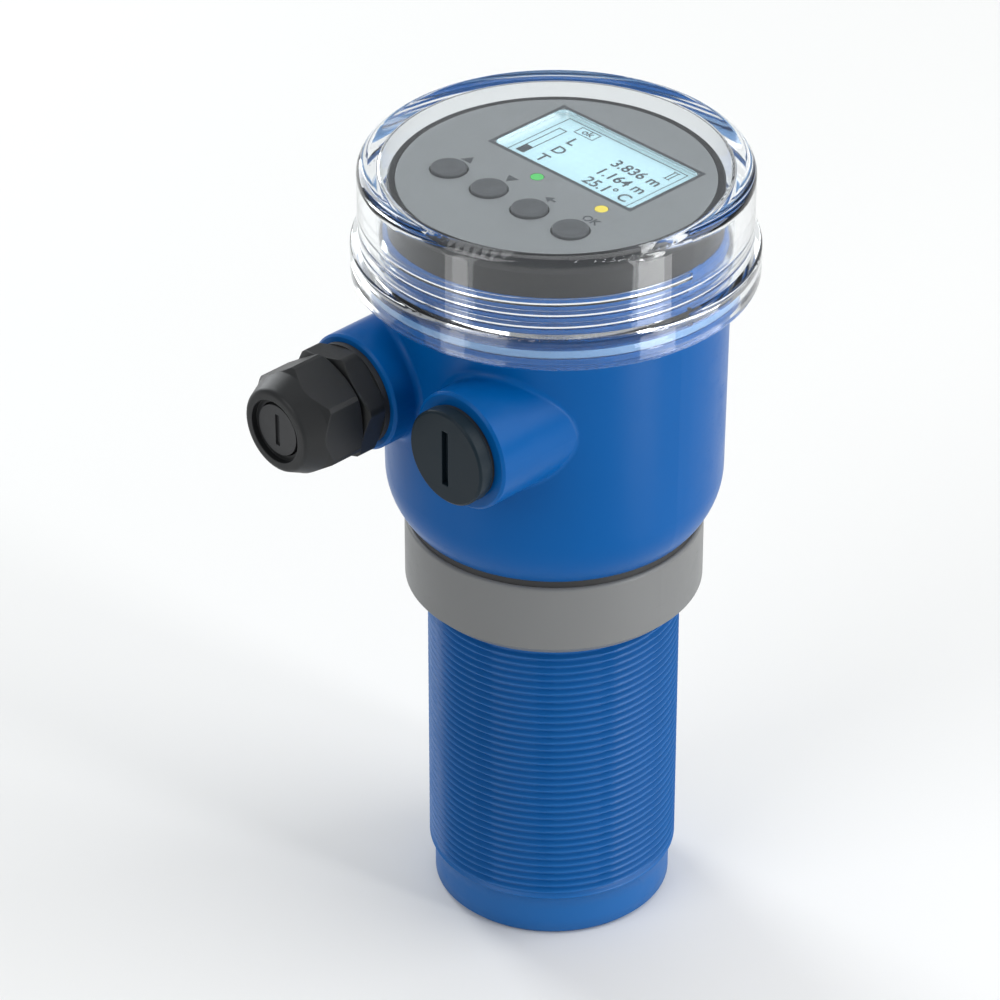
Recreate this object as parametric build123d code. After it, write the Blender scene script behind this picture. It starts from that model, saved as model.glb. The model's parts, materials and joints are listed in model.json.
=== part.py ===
from build123d import *
from math import cos, radians, sin, sqrt
import os

# Compact ultrasonic level sensor: a blue plastic head with a local display under a clear screw
# cap, two cable entries, a grey lock ring and a threaded shank that ends in the transducer.
# Millimetres. The origin is the centre of the transducer's face, +Z runs up the sensor's axis,
# and both cable entries point along -Y, so the display reads along +X.

os.makedirs("parts", exist_ok=True)

# Fits
turn_gap = 0.3  # radial room between parts that turn or slide on each other
bond_gap = 0.15  # radial room for glue or a light press
part_gap = 0.3  # room between neighbours that don't carry each other

# Shank and transducer
shank_length = 107.0  # from the transducer's face to the head's underside
shank_radius = 30.0  # crest of the M60 x 2 thread
shank_wall = 4.8
shank_flange_lip = 2.4
shank_flange_height = 2.5
shank_relief_width = 2.0  # groove behind the lock ring's lower edge
shank_relief_depth = 1.0
tip_step = 1.4  # from the crest in to the plain end below the thread
tip_height = 12.0
tip_chamfer = 1.2
membrane_seat = 1.2  # widening of the bore that takes the membrane
membrane_height = 5.0
piezo_edge = 6.2  # from the bore in to the piezo disc
piezo_height = 8.6
damping_height = 16.0
sensor_capsule_radius = 1.5
sensor_capsule_height = 9.0
sensor_capsule_edge = 3.0  # from the bore in to the capsule's axis
sensor_capsule_skin = 2.0  # membrane left below the capsule
sensor_capsule_round = 0.9
potting_height = 36.0

# Lock ring and its gasket
gasket_thickness = 2.0
gasket_width = 4.2
ring_wall = 5.0
ring_height = 19.0
ring_top_round = 0.8
ring_chamfer = 2.2
ring_lead = 1.0

# Head
head_seat_margin = 0.5  # flat underside outside the gasket
bowl_inset = 4.7  # from the side in to the flat underside
head_draft = 0.5
head_wall = 3.3
head_round = 18.0  # bowl between the underside and the side
head_height = 61.3  # underside to the flare under the cap
head_floor = 3.0
chamber_floor_margin = 0.6  # floor outside the shank's flange
chamber_round_height = 8.0
ledge_width = 3.1  # from the neck's root out to the ledge's rim
ledge_flare = 2.3
ledge_height = 1.4
neck_wall = 2.8  # up to the root of the cap's thread
neck_height = 13.5
neck_chamfer = 0.6

# Cap thread, the same on the neck and in the cap
cap_pitch = 3.0
ridge_depth = 1.2
ridge_foot = 1.7
ridge_crest = 0.8
ridge_root_overlap = 0.3  # how far a ridge's foot lies inside its wall
thread_clearance = 0.25  # between the cap's seal and the neck's first ridge
neck_thread_turns = 3.0
cap_thread_turns = 3.0

# Clear cap
cap_wall = 4.6
cap_flange_lip = 1.7  # how far the flange stands out from the cap's side
cap_flange_height = 8.9
cap_flange_step = 0.9
cap_flange_round = 1.3
cap_top = 3.0
cap_edge_round = 2.6
cap_skirt = 1.7  # how far the cap hangs below the ledge's top
cap_corner_round = 1.0
cap_headroom = 3.0  # from the display's face to the cap's ceiling
cap_seal_height = 2.3
cap_seal_gap = 0.1
cap_seal_round = 0.5

# Display unit
bezel_inset = 0.8  # from the neck's root
bezel_height = 6.5  # from the neck's top to the display's face
bezel_chamfer = 0.4
bezel_rim = 1.7
bezel_deck = 2.0
skirt_depth = 7.5
skirt_wall = 1.2
faceplate_thickness = 0.8
lens_length = 44.0
lens_width = 23.0
lens_offset = 12.8  # from the sensor's axis, away from the entries
lens_corner = 2.0
lens_sink = 0.1
glass_margin = 1.0
glass_thickness = 1.9
backlight_margin = 0.4
display_board_gap = 0.5  # from the board's edge to the skirt
board_thickness = 1.6
display_board_depth = 8.0  # from the display's face to the board's top
display_post_radius = 2.6
display_post_inset = 3.8  # from the board's edge in to the posts
display_post_angles = (0.0, 180.0, 240.0, 300.0)
display_screw_radius = 1.1
display_screw_head = 2.1
display_screw_head_height = 1.3
display_screw_length = 5.0

# Cross slot and rounding of every pan-head screw, as shares of its head
screw_round_share = 0.35
screw_slot_share = 0.25
screw_slot_depth_share = 0.6
screw_slot_length_share = 0.65

# Keys and lamps, in the faceplate's plane
key_names = ("key_up", "key_down", "key_back", "key_ok")
key_spacing = 13.0
key_row = -15.0
key_radius = 4.2
key_proud = 0.7
key_dish = 0.35
key_crown_radius = 3.0
key_flange_radius = 5.2
key_flange_height = 1.1
key_stem_radius = 1.7
key_travel = 0.8
switch_size = 6.0
switch_height = 2.9
switch_corner = 0.5
lamp_names = ("lamp_green", "lamp_yellow")
lamp_places = (-3.0, 17.5)
lamp_row = -3.2
lamp_radius = 1.5
lamp_flange_radius = 2.2
lamp_flange_height = 1.5

# Terminal board and its parts
terminal_board_drop = 21.0  # from the neck's top to the board's underside
terminal_board_gap = 0.8  # from the board's edge to the chamber
wire_gap_width = 40.0  # cut-out in the board for the wires
wire_gap_edge = -23.0
post_radius = 3.4
post_inset = 3.1  # from the chamber's wall in to the posts
post_height = 24.0
post_angles = (90.0, 210.0, 330.0)
post_hole = 1.25
board_screw_radius = 1.15
board_screw_length = 9.0
board_screw_head = 2.75
board_screw_head_height = 2.0
terminal_count = 5
terminal_spacing = 5.08
terminal_depth = 9.0
terminal_height = 10.0
terminal_row = -13.0
terminal_wall = 0.7
terminal_hole = 3.2
terminal_hole_level = 3.5
terminal_hole_depth = 5.4
terminal_bevel = 2.0
terminal_screw_radius = 1.6
terminal_screw_depth = 4.5
terminal_screw_sink = 1.0
terminal_slot_width = 0.6
terminal_slot_depth = 0.8
header_pin_count = 8
header_spacing = 2.54
header_row = 16.0
header_depth = 5.0
header_socket_height = 8.5
header_strip_height = 2.5
header_pin = 0.64
header_pin_hole = 0.9
header_hole_depth = 7.0
header_reach = 5.7  # how far the pins reach into the socket

# Driver board and its parts
driver_edge = 2.2  # from the bore in to the board's edges
driver_height = 90.0
driver_corner = 1.5
coil_size = 14.0
coil_height = 12.0
coil_bobbin_rim = 1.5
coil_winding_radius = 6.4
coil_level = 62.0  # above the driver board's foot
capacitor_radius = 4.0
capacitor_height = 9.0
capacitor_round = 0.6
capacitor_spacing = 18.0
capacitor_level = 34.0
link_length = 22.0
link_depth = 5.0
link_overlap = 9.0  # how far the link reaches down the driver board

# Cable entries
entry_drop = 4.9  # from the flare under the cap down to the bosses
entry_spacing = 35.0
entry_thread_radius = 10.0  # M20 x 1.5
boss_radius = 14.2
boss_stand = 7.8  # how far the bosses' faces stand off the head's side
boss_length = 27.5  # from there back to where bosses and their holes start, inside the chamber
boss_chamfer = 0.6
boss_root_round = 1.6
entry_mouth = 0.8
thread_lead = 0.6  # chamfer where a thread starts

# Cable gland
gland_seal_height = 1.5
gland_seal_inner = 10.2
gland_seal_outer = 12.4
gland_flats = 24.0
gland_collar_height = 6.0
gland_collar_turn = 12.0
flats_corner_radius = 13.5  # both hexagons are turned down to this
flats_corner_fall = 0.8
gland_thread_length = 14.0
gland_bore = 7.1
gland_front_radius = 9.4
gland_front_length = 6.5
finger_length = 5.0
finger_radius = 9.2
finger_tip_radius = 7.9
finger_taper = 2.5
finger_count = 12
finger_slit = 0.9
nut_gap = 0.6  # between the collar and the tightened nut
nut_length = 15.9
nut_dome_length = 5.5
nut_shoulder_fall = 1.2
nut_shoulder_radius = 12.4
nut_end_radius = 9.8
nut_end_round = 1.4
nut_mouth = 7.7
nut_mouth_depth = 1.6
nut_throat = 6.5
nut_throat_length = 1.0
nut_cone_length = 1.0
nut_turn = 33.0
insert_radius = 6.8
insert_bore = 4.9
insert_length = 14.0
insert_lead_width = 0.8
insert_lead_length = 1.2
insert_nose_width = 1.0
insert_nose_length = 1.5
stopper_shaft_length = 12.0
stopper_proud = 0.7  # how far its head stands out of the nut's throat
stopper_slot_width = 1.4
stopper_slot_length = 8.0
stopper_slot_depth = 0.7

# Blanking plug
plug_seal_height = 1.0
plug_seal_inner = 10.15
plug_head_radius = 11.5
plug_head_height = 3.5
plug_chamfer = 0.5
plug_thread_length = 13.0
plug_hollow = 7.4
plug_slot_width = 2.0
plug_slot_length = 14.0
plug_slot_depth = 1.5

# Heights that follow, up the sensor's axis
head_base = shank_length
flare_base = head_base + head_height
entry_height = flare_base - entry_drop - boss_radius
flange_base = head_base + head_floor
flange_top = flange_base + shank_flange_height
ring_top = head_base - gasket_thickness
ring_base = ring_top - ring_height
ledge_top = flare_base + ledge_flare + ledge_height
neck_top = ledge_top + neck_height
display_face = neck_top + bezel_height
deck_top = display_face - faceplate_thickness
deck_base = deck_top - bezel_deck
display_board_top = display_face - display_board_depth
display_board_base = display_board_top - board_thickness
cap_ceiling = display_face + cap_headroom
cap_crown = cap_ceiling + cap_top
cap_base = ledge_top - cap_skirt
neck_thread_base = ledge_top + cap_seal_height + ridge_foot / 2 + thread_clearance
cap_thread_base = neck_thread_base + cap_pitch / 2
terminal_board_base = neck_top - terminal_board_drop
terminal_board_top = terminal_board_base + board_thickness
damping_top = membrane_height + damping_height
potting_top = damping_top + potting_height

# Radii that follow, from the shank out
shank_bore = shank_radius - shank_wall
shank_flange_radius = shank_radius + shank_flange_lip
tip_radius = shank_radius - tip_step
membrane_radius = shank_bore + membrane_seat
piezo_radius = shank_bore - piezo_edge
sensor_capsule_offset = shank_bore - sensor_capsule_edge
driver_width = 2 * (shank_bore - driver_edge)
ring_bore = shank_radius + turn_gap
ring_radius = ring_bore + ring_wall
head_seat_radius = ring_bore + gasket_width + head_seat_margin
head_low_radius = head_seat_radius + bowl_inset
head_top_radius = head_low_radius + head_draft
boss_reach = head_low_radius + boss_stand
boss_root = boss_reach - boss_length
chamber_radius = head_low_radius - head_wall
chamber_floor_radius = shank_flange_radius + chamber_floor_margin
post_circle = chamber_radius - post_inset
terminal_board_radius = chamber_radius - terminal_board_gap
neck_radius = chamber_radius + neck_wall
ledge_radius = neck_radius + ledge_width
bezel_radius = neck_radius - bezel_inset
display_board_radius = chamber_radius - turn_gap - skirt_wall - display_board_gap
display_post_circle = display_board_radius - display_post_inset
cap_bore = neck_radius + ridge_depth + turn_gap
cap_radius = cap_bore + cap_wall
cap_flange_radius = cap_radius + cap_flange_lip
seal_seat_radius = ledge_radius + turn_gap
seal_top = ledge_top + cap_seal_height
entry_thread_fit = entry_thread_radius - bond_gap


# A flat outline of (radius, height) points with some of its corners rounded.
def outline(points, rounds=()):
    face = make_face(Polyline(*points, close=True))
    for index, radius in rounds:
        corner = face.vertices().sort_by_distance((*points[index], 0))[0]
        face = fillet(corner, radius)
    return face


# A full turn of such an outline about the sensor's axis.
def turned(points, rounds=()):
    return revolve(Plane.XZ * outline(points, rounds), Axis.Z)


# A round bar between two heights.
def rod(radius, low, high, x=0.0, y=0.0):
    bar = Cylinder(radius, high - low, align=(Align.CENTER, Align.CENTER, Align.MIN))
    return Pos(x, y, low) * bar


# A washer or tube between two heights.
def tube(outer, inner, low, high):
    return rod(outer, low, high) - rod(inner, low, high)


# A rectangular block centred on (x, y), standing between two heights.
def block(length, width, low, high, x=0.0, y=0.0):
    body = Box(length, width, high - low, align=(Align.CENTER, Align.CENTER, Align.MIN))
    return Pos(x, y, low) * body


# Separate solids that share one node.
def group(solids):
    return Compound(children=list(solids))


# Points evenly placed in a row about its middle.
def spread(count, spacing):
    return [(index - (count - 1) / 2) * spacing for index in range(count)]


# Points on a circle about the sensor's axis, by angle in degrees.
def on_circle(radius, angles):
    return [(radius * cos(radians(a)), radius * sin(radians(a))) for a in angles]


# A shape drawn along +Z from the sensor's axis, laid along an entry that points along -Y.
def at_entry(shape, side):
    place = Plane(origin=(side * entry_spacing / 2, 0, entry_height), x_dir=(1, 0, 0), z_dir=(0, -1, 0))
    return place * shape


# One helical ridge of the cap's thread. Inward ridges stand on a bore, the others on a neck.
def thread_ridge(wall_radius, base, turns, inward):
    side = -1 if inward else 1
    path = Helix(pitch=cap_pitch, height=turns * cap_pitch, radius=wall_radius, center=(0, 0, base))
    foot = -side * ridge_root_overlap
    spread_per_depth = (ridge_foot - ridge_crest) / 2 / ridge_depth
    foot_half = ridge_foot / 2 + spread_per_depth * ridge_root_overlap
    tooth = make_face(
        Polyline(
            (foot, -foot_half),
            (side * ridge_depth, -ridge_crest / 2),
            (side * ridge_depth, ridge_crest / 2),
            (foot, foot_half),
            close=True,
        )
    )
    start = Plane(origin=path @ 0, x_dir=(1, 0, 0), z_dir=path % 0)
    return sweep(start * tooth, path=path, is_frenet=True)


# Shank: a threaded tube, passed down through the head and bonded by its flange.
def make_shank():
    return turned(
        [
            (tip_radius - tip_chamfer, 0),
            (tip_radius, tip_chamfer),
            (tip_radius, tip_height - (shank_radius - tip_radius)),
            (shank_radius, tip_height),
            (shank_radius, ring_base),
            (shank_radius - shank_relief_depth, ring_base),
            (shank_radius - shank_relief_depth, ring_base + shank_relief_width),
            (shank_radius, ring_base + shank_relief_width),
            (shank_radius, flange_base),
            (shank_flange_radius, flange_base),
            (shank_flange_radius, flange_top),
            (shank_bore, flange_top),
            (shank_bore, membrane_height),
            (membrane_radius, membrane_height),
            (membrane_radius, 0),
        ]
    )


def make_membrane():
    radius = membrane_radius - bond_gap
    disc = rod(radius, 0, membrane_height)
    pocket = rod(
        sensor_capsule_radius + bond_gap, sensor_capsule_skin, membrane_height, x=sensor_capsule_offset
    )
    return disc - pocket


def make_piezo():
    return rod(piezo_radius, membrane_height, membrane_height + piezo_height)


# Soft cup that holds and quiets the piezo disc, with a hole for the temperature capsule.
def make_damping_cup():
    cup = rod(shank_bore - bond_gap, membrane_height, damping_top)
    cup -= rod(piezo_radius + part_gap, membrane_height, membrane_height + piezo_height + part_gap)
    capsule_top = sensor_capsule_skin + sensor_capsule_height + part_gap
    cup -= rod(sensor_capsule_radius + bond_gap, membrane_height, capsule_top, x=sensor_capsule_offset)
    return cup


def make_temperature_capsule():
    low = sensor_capsule_skin
    capsule = rod(sensor_capsule_radius, low, low + sensor_capsule_height, x=sensor_capsule_offset)
    top_edge = capsule.edges().group_by(Axis.Z)[-1]
    return fillet(top_edge, sensor_capsule_round)


def make_potting():
    return rod(shank_bore - bond_gap, damping_top, potting_top)


def make_ring_gasket():
    return tube(ring_bore + gasket_width, ring_bore, ring_top, head_base)


# Lock ring on the shank's thread, chamfered below and at both ends of its bore.
def make_lock_ring():
    points = [
        (ring_bore, ring_base + ring_lead),
        (ring_bore + ring_lead, ring_base),
        (ring_radius - ring_chamfer, ring_base),
        (ring_radius, ring_base + ring_chamfer),
        (ring_radius, ring_top),
        (ring_bore + ring_lead, ring_top),
        (ring_bore, ring_top - ring_lead),
    ]
    return turned(points, rounds=[(4, ring_top_round)])


# Outside of the head: bowl, slightly drafted side, flared ledge under the cap, and neck.
def head_outside():
    bowl_rise = sqrt(head_round**2 - (head_round - bowl_inset) ** 2)
    bowl_top = head_base + bowl_rise
    edge = [
        Line((0, head_base), (head_seat_radius, head_base)),
        TangentArc((head_low_radius, bowl_top), (head_seat_radius, head_base), tangent=(0, -1)),
        Polyline(
            (head_low_radius, bowl_top),
            (head_top_radius, flare_base),
            (ledge_radius, flare_base + ledge_flare),
            (ledge_radius, ledge_top),
            (neck_radius, ledge_top),
            (neck_radius, neck_top - neck_chamfer),
            (neck_radius - neck_chamfer, neck_top),
            (0, neck_top),
            (0, head_base),
        ),
    ]
    return revolve(Plane.XZ * make_face(edge), Axis.Z)


# Inside of the head, as the solid that is cut away.
def head_inside():
    chamber = turned(
        [
            (0, flange_base),
            (chamber_floor_radius, flange_base),
            (chamber_radius, flange_base + chamber_round_height),
            (chamber_radius, neck_top),
            (0, neck_top),
        ]
    )
    return chamber + rod(shank_radius + bond_gap, head_base, flange_base)


# Columns on the chamber's wall that carry the terminal board.
def board_posts():
    top = terminal_board_base
    posts = Part()
    for x, y in on_circle(post_circle, post_angles):
        posts += rod(post_radius, top - post_height, top, x, y)
    posts &= rod(chamber_radius + bond_gap, top - post_height, top)
    for x, y in on_circle(post_circle, post_angles):
        posts -= rod(post_hole, top - board_screw_length, top, x, y)
    return posts


# Head with its two bosses, rounded where a boss runs into the bowl and the side.
def head_with_bosses():
    head = head_outside()
    for side in (-1, 1):
        boss = rod(boss_radius, boss_root, boss_reach)
        boss = chamfer(boss.edges().group_by(Axis.Z)[-1], boss_chamfer)
        head += at_entry(boss, side)
    seams = []
    for edge in head.edges():
        middle = edge @ 0.5
        reach = sqrt((abs(middle.X) - entry_spacing / 2) ** 2 + (middle.Z - entry_height) ** 2)
        if abs(reach - boss_radius) < part_gap and -boss_reach + boss_chamfer < middle.Y - part_gap < 0:
            seams.append(edge)
    return fillet(seams, boss_root_round)


def make_head():
    head = head_with_bosses() - head_inside()
    for side in (-1, 1):
        head -= at_entry(rod(entry_thread_radius, boss_root, boss_reach), side)
        mouth = turned(
            [
                (0, boss_reach - entry_mouth),
                (entry_thread_radius, boss_reach - entry_mouth),
                (entry_thread_radius + entry_mouth, boss_reach),
                (0, boss_reach),
            ]
        )
        head -= at_entry(mouth, side)
    head += board_posts()
    return head + thread_ridge(neck_radius, neck_thread_base, neck_thread_turns, False)


# Clear cap: flanged skirt, seat for the seal, and a ridge that runs between the neck's ridges.
def make_cap():
    flange_top_edge = cap_base + cap_flange_height
    points = [
        (seal_seat_radius, cap_base),
        (cap_flange_radius, cap_base),
        (cap_flange_radius, flange_top_edge - cap_flange_step),
        (cap_radius, flange_top_edge),
        (cap_radius, cap_crown),
        (0, cap_crown),
        (0, cap_ceiling),
        (cap_bore, cap_ceiling),
        (cap_bore, seal_top + cap_seal_gap),
        (seal_seat_radius, seal_top + cap_seal_gap),
    ]
    rounds = [(1, cap_flange_round), (2, cap_flange_round), (4, cap_edge_round), (7, cap_corner_round)]
    shell = turned(points, rounds)
    return shell + thread_ridge(cap_bore, cap_thread_base, cap_thread_turns, True)


# Soft ring between the ledge and the cap's seat, wide enough to pass over the neck's thread.
def make_cap_seal():
    outer = seal_seat_radius - turn_gap
    points = [
        (cap_bore, ledge_top),
        (outer, ledge_top),
        (outer, seal_top),
        (cap_bore, seal_top),
    ]
    return turned(points, rounds=[(index, cap_seal_round) for index in range(4)])


def key_places():
    return [(x, key_row) for x in spread(len(key_names), key_spacing)]


# Display case: bezel on the neck's top, deck with its openings, skirt down into the chamber.
def make_display_case():
    skirt_radius = chamber_radius - turn_gap
    inner = skirt_radius - skirt_wall
    case = turned(
        [
            (0, deck_base),
            (inner, deck_base),
            (inner, neck_top - skirt_depth),
            (skirt_radius, neck_top - skirt_depth),
            (skirt_radius, neck_top),
            (bezel_radius, neck_top),
            (bezel_radius, display_face - bezel_chamfer),
            (bezel_radius - bezel_chamfer, display_face),
            (bezel_radius - bezel_rim, display_face),
            (bezel_radius - bezel_rim, deck_top),
            (0, deck_top),
        ]
    )
    case -= block(lens_length + 2 * bond_gap, lens_width + 2 * bond_gap, deck_base, deck_top, y=lens_offset)
    for x, y in key_places():
        case -= rod(key_radius + turn_gap, deck_base, deck_top, x, y)
    for x in lamp_places:
        case -= rod(lamp_radius + bond_gap, deck_base, deck_top, x, lamp_row)
    for x, y in on_circle(display_post_circle, display_post_angles):
        case += rod(display_post_radius, display_board_top, deck_base, x, y)
        hole_top = display_board_base + display_screw_length + part_gap
        case -= rod(display_screw_radius + bond_gap, display_board_top, hole_top, x, y)
    return case


def lens_shape(low, high, grow):
    length = lens_length + 2 * grow
    width = lens_width + 2 * grow
    flat = RectangleRounded(length, width, lens_corner)
    return Pos(0, lens_offset, low) * extrude(flat, high - low)


def make_faceplate():
    radius = bezel_radius - bezel_rim - bond_gap
    plate = rod(radius, deck_top, display_face)
    plate -= lens_shape(deck_top, display_face, bond_gap)
    for x, y in key_places():
        plate -= rod(key_radius + turn_gap, deck_top, display_face, x, y)
    for x in lamp_places:
        plate -= rod(lamp_radius + bond_gap, deck_top, display_face, x, lamp_row)
    return plate


def make_display_lens():
    return lens_shape(deck_base, display_face - lens_sink, 0)


def make_display_glass():
    length = lens_length + 2 * glass_margin
    width = lens_width + 2 * glass_margin
    return block(length, width, deck_base - glass_thickness, deck_base, y=lens_offset)


def make_backlight():
    length = lens_length + 2 * (glass_margin + backlight_margin)
    width = lens_width + 2 * (glass_margin - backlight_margin)
    top = deck_base - glass_thickness
    tray = block(length, width, display_board_top, top, y=lens_offset)
    return chamfer(tray.edges().filter_by(Axis.Z), backlight_margin)


def make_display_board():
    board = rod(display_board_radius, display_board_base, display_board_top)
    for x, y in on_circle(display_post_circle, display_post_angles):
        board -= rod(display_screw_radius + bond_gap, display_board_base, display_board_top, x, y)
    return board


# Pan-head screw with its head above z = 0 and its shaft below.
def screw(shaft_radius, shaft_length, head_radius, head_height):
    body = rod(shaft_radius, -shaft_length, 0) + rod(head_radius, 0, head_height)
    body = fillet(body.edges().group_by(Axis.Z)[-1], head_height * screw_round_share)
    slot_length = 2 * head_radius * screw_slot_length_share
    slot_floor = head_height * (1 - screw_slot_depth_share)
    for turn in (0, 90):
        arm = block(slot_length, head_radius * screw_slot_share, slot_floor, head_height)
        body -= Rot(0, 0, turn) * arm
    return body


def make_display_screws():
    pattern = Rot(180, 0, 0) * screw(
        display_screw_radius,
        display_screw_length,
        display_screw_head,
        display_screw_head_height,
    )
    places = on_circle(display_post_circle, display_post_angles)
    return group([Pos(x, y, display_board_base) * pattern for x, y in places])


# One key: dished top, flange that the deck holds down, and a stem into its switch.
def make_key(x, y):
    top = display_face + key_proud
    flange_top_level = deck_base - part_gap / 2
    flange_low = flange_top_level - key_flange_height
    stem_low = display_board_top + key_travel + 2 * part_gap
    points = [
        (0, stem_low),
        (key_stem_radius, stem_low),
        (key_stem_radius, flange_low),
        (key_flange_radius, flange_low),
        (key_flange_radius, flange_top_level),
        (key_radius, flange_top_level),
        (key_radius, top),
        (key_crown_radius, top),
        (0, top - key_dish),
    ]
    return Pos(x, y, 0) * turned(points, rounds=[(6, key_dish)])


def make_key_switches():
    top = display_board_top + switch_height
    well = display_board_top + 2 * part_gap
    switches = []
    for x, y in key_places():
        body = block(switch_size, switch_size, display_board_top, top, x, y)
        body = chamfer(body.edges().filter_by(Axis.Z), switch_corner)
        switches.append(body - rod(key_stem_radius + turn_gap, well, top, x, y))
    return group(switches)


# Lamp: a light pipe from the board to the faceplate, with a flange under the deck.
def make_lamp(x):
    flange_low = deck_base - lamp_flange_height
    pipe = rod(lamp_radius, display_board_top, display_face, x, lamp_row)
    return pipe + rod(lamp_flange_radius, flange_low, deck_base, x, lamp_row)


def make_terminal_board():
    board = rod(terminal_board_radius, terminal_board_base, terminal_board_top)
    gap_depth = terminal_board_radius + wire_gap_edge
    board -= block(
        wire_gap_width,
        gap_depth,
        terminal_board_base,
        terminal_board_top,
        y=wire_gap_edge - gap_depth / 2,
    )
    for x, y in on_circle(post_circle, post_angles):
        board -= rod(board_screw_radius + bond_gap, terminal_board_base, terminal_board_top, x, y)
    return board


def make_board_screws():
    pattern = screw(
        board_screw_radius,
        board_screw_length - part_gap,
        board_screw_head,
        board_screw_head_height,
    )
    places = on_circle(post_circle, post_angles)
    return group([Pos(x, y, terminal_board_top) * pattern for x, y in places])


# Terminal block: a row of clamps with wire holes towards the entries and screw wells on top.
def make_terminal_block():
    length = terminal_count * terminal_spacing + 2 * terminal_wall
    top = terminal_board_top + terminal_height
    body = block(length, terminal_depth, terminal_board_top, top, y=terminal_row)
    front = body.faces().sort_by(Axis.Y)[0]
    body = chamfer(front.edges().sort_by(Axis.Z)[-1], terminal_bevel)
    hole_low = terminal_board_top + terminal_hole_level - terminal_hole / 2
    hole_y = terminal_row - terminal_depth / 2 + terminal_hole_depth / 2
    for x in spread(terminal_count, terminal_spacing):
        body -= block(terminal_hole, terminal_hole_depth, hole_low, hole_low + terminal_hole, x, hole_y)
        body -= rod(terminal_screw_radius + bond_gap, top - terminal_screw_depth, top, x, terminal_row)
    return body


def make_terminal_screws():
    top = terminal_board_top + terminal_height
    low = top - terminal_screw_depth
    head_top = top - terminal_screw_sink
    slot_floor = head_top - terminal_slot_depth
    screws = []
    for x in spread(terminal_count, terminal_spacing):
        head = rod(terminal_screw_radius, low, head_top, x, terminal_row)
        slot = block(2 * terminal_screw_radius, terminal_slot_width, slot_floor, head_top, x, terminal_row)
        screws.append(head - slot)
    return group(screws)


def header_length():
    return header_pin_count * header_spacing


# Socket on the terminal board and the pins of the display board that plug into it.
def make_header_socket():
    top = terminal_board_top + header_socket_height
    body = block(header_length(), header_depth, terminal_board_top, top, y=header_row)
    for x in spread(header_pin_count, header_spacing):
        body -= block(header_pin_hole, header_pin_hole, top - header_hole_depth, top, x, header_row)
    return body


def make_header_pins():
    strip_low = display_board_base - header_strip_height
    pin_low = terminal_board_top + header_socket_height - header_reach
    body = block(header_length(), header_spacing, strip_low, display_board_base, y=header_row)
    for x in spread(header_pin_count, header_spacing):
        body += block(header_pin, header_pin, pin_low, strip_low, x, header_row)
    return body


def driver_top():
    return potting_top + driver_height


def make_driver_board():
    board = block(driver_width, board_thickness, potting_top, driver_top())
    corners = board.edges().filter_by(Axis.Y)
    return chamfer(corners, driver_corner)


# Drive coil: a bobbin with two flanges and its winding, on the board's front.
def make_drive_coil():
    level = potting_top + coil_level
    axis_frame = Plane(origin=(0, -board_thickness / 2, level), x_dir=(1, 0, 0), z_dir=(0, -1, 0))
    bobbin = Box(coil_size, coil_size, coil_bobbin_rim, align=(Align.CENTER, Align.CENTER, Align.MIN))
    far_rim = Pos(0, 0, coil_height - coil_bobbin_rim) * bobbin
    winding = rod(coil_winding_radius, coil_bobbin_rim, coil_height - coil_bobbin_rim)
    return axis_frame * (bobbin + winding + far_rim)


def make_capacitors():
    level = potting_top + capacitor_level
    cans = []
    for x in spread(2, capacitor_spacing):
        place = Plane(origin=(x, -board_thickness / 2, level), x_dir=(1, 0, 0), z_dir=(0, -1, 0))
        can = rod(capacitor_radius, 0, capacitor_height)
        can = fillet(can.edges().group_by(Axis.Z)[-1], capacitor_round)
        cans.append(place * can)
    return group(cans)


# Plug-in link from the driver board's top edge up to the terminal board.
def make_board_link():
    low = driver_top() - link_overlap
    y = board_thickness / 2 + link_depth / 2
    return block(link_length, link_depth, low, terminal_board_base, y=y)


def hexagon(flats, low, high, turn):
    corner_radius = flats / 2 / cos(radians(30))
    flat = Rot(0, 0, turn) * RegularPolygon(corner_radius, 6)
    return Pos(0, 0, low) * extrude(flat, high - low)


def gland_collar_base():
    return boss_reach + gland_seal_height


def gland_collar_top():
    return gland_collar_base() + gland_collar_height


def nut_base():
    return gland_collar_top() + nut_gap


def nut_end():
    return nut_base() + nut_length


# Gland body: threaded spigot, hexagonal collar, front thread and slit clamping fingers.
def make_gland_body():
    base = gland_collar_base()
    front = gland_collar_top()
    finger_base = front + gland_front_length
    finger_end = finger_base + finger_length
    spigot_low = base - gland_thread_length
    body = turned(
        [
            (gland_bore, spigot_low),
            (entry_thread_fit - thread_lead, spigot_low),
            (entry_thread_fit, spigot_low + thread_lead),
            (entry_thread_fit, base),
            (gland_front_radius, base),
            (gland_front_radius, finger_base),
            (finger_radius, finger_base),
            (finger_radius, finger_end - finger_taper),
            (finger_tip_radius, finger_end),
            (gland_bore, finger_end),
        ]
    )
    collar = hexagon(gland_flats, base, front, gland_collar_turn)
    rounding = turned(
        [
            (0, base),
            (gland_flats / 2, base),
            (flats_corner_radius, base + flats_corner_fall),
            (flats_corner_radius, front - flats_corner_fall),
            (gland_flats / 2, front),
            (0, front),
        ]
    )
    body += (collar & rounding) - rod(gland_bore, base, front)
    slit = block(finger_slit, 2 * entry_thread_radius, finger_base, finger_end)
    for turn in range(finger_count // 2):
        body -= Rot(0, 0, turn * 360 / finger_count) * slit
    return at_entry(body, -1)


def make_gland_seal():
    seal = tube(gland_seal_outer, gland_seal_inner, boss_reach, gland_collar_base())
    return at_entry(seal, -1)


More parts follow.
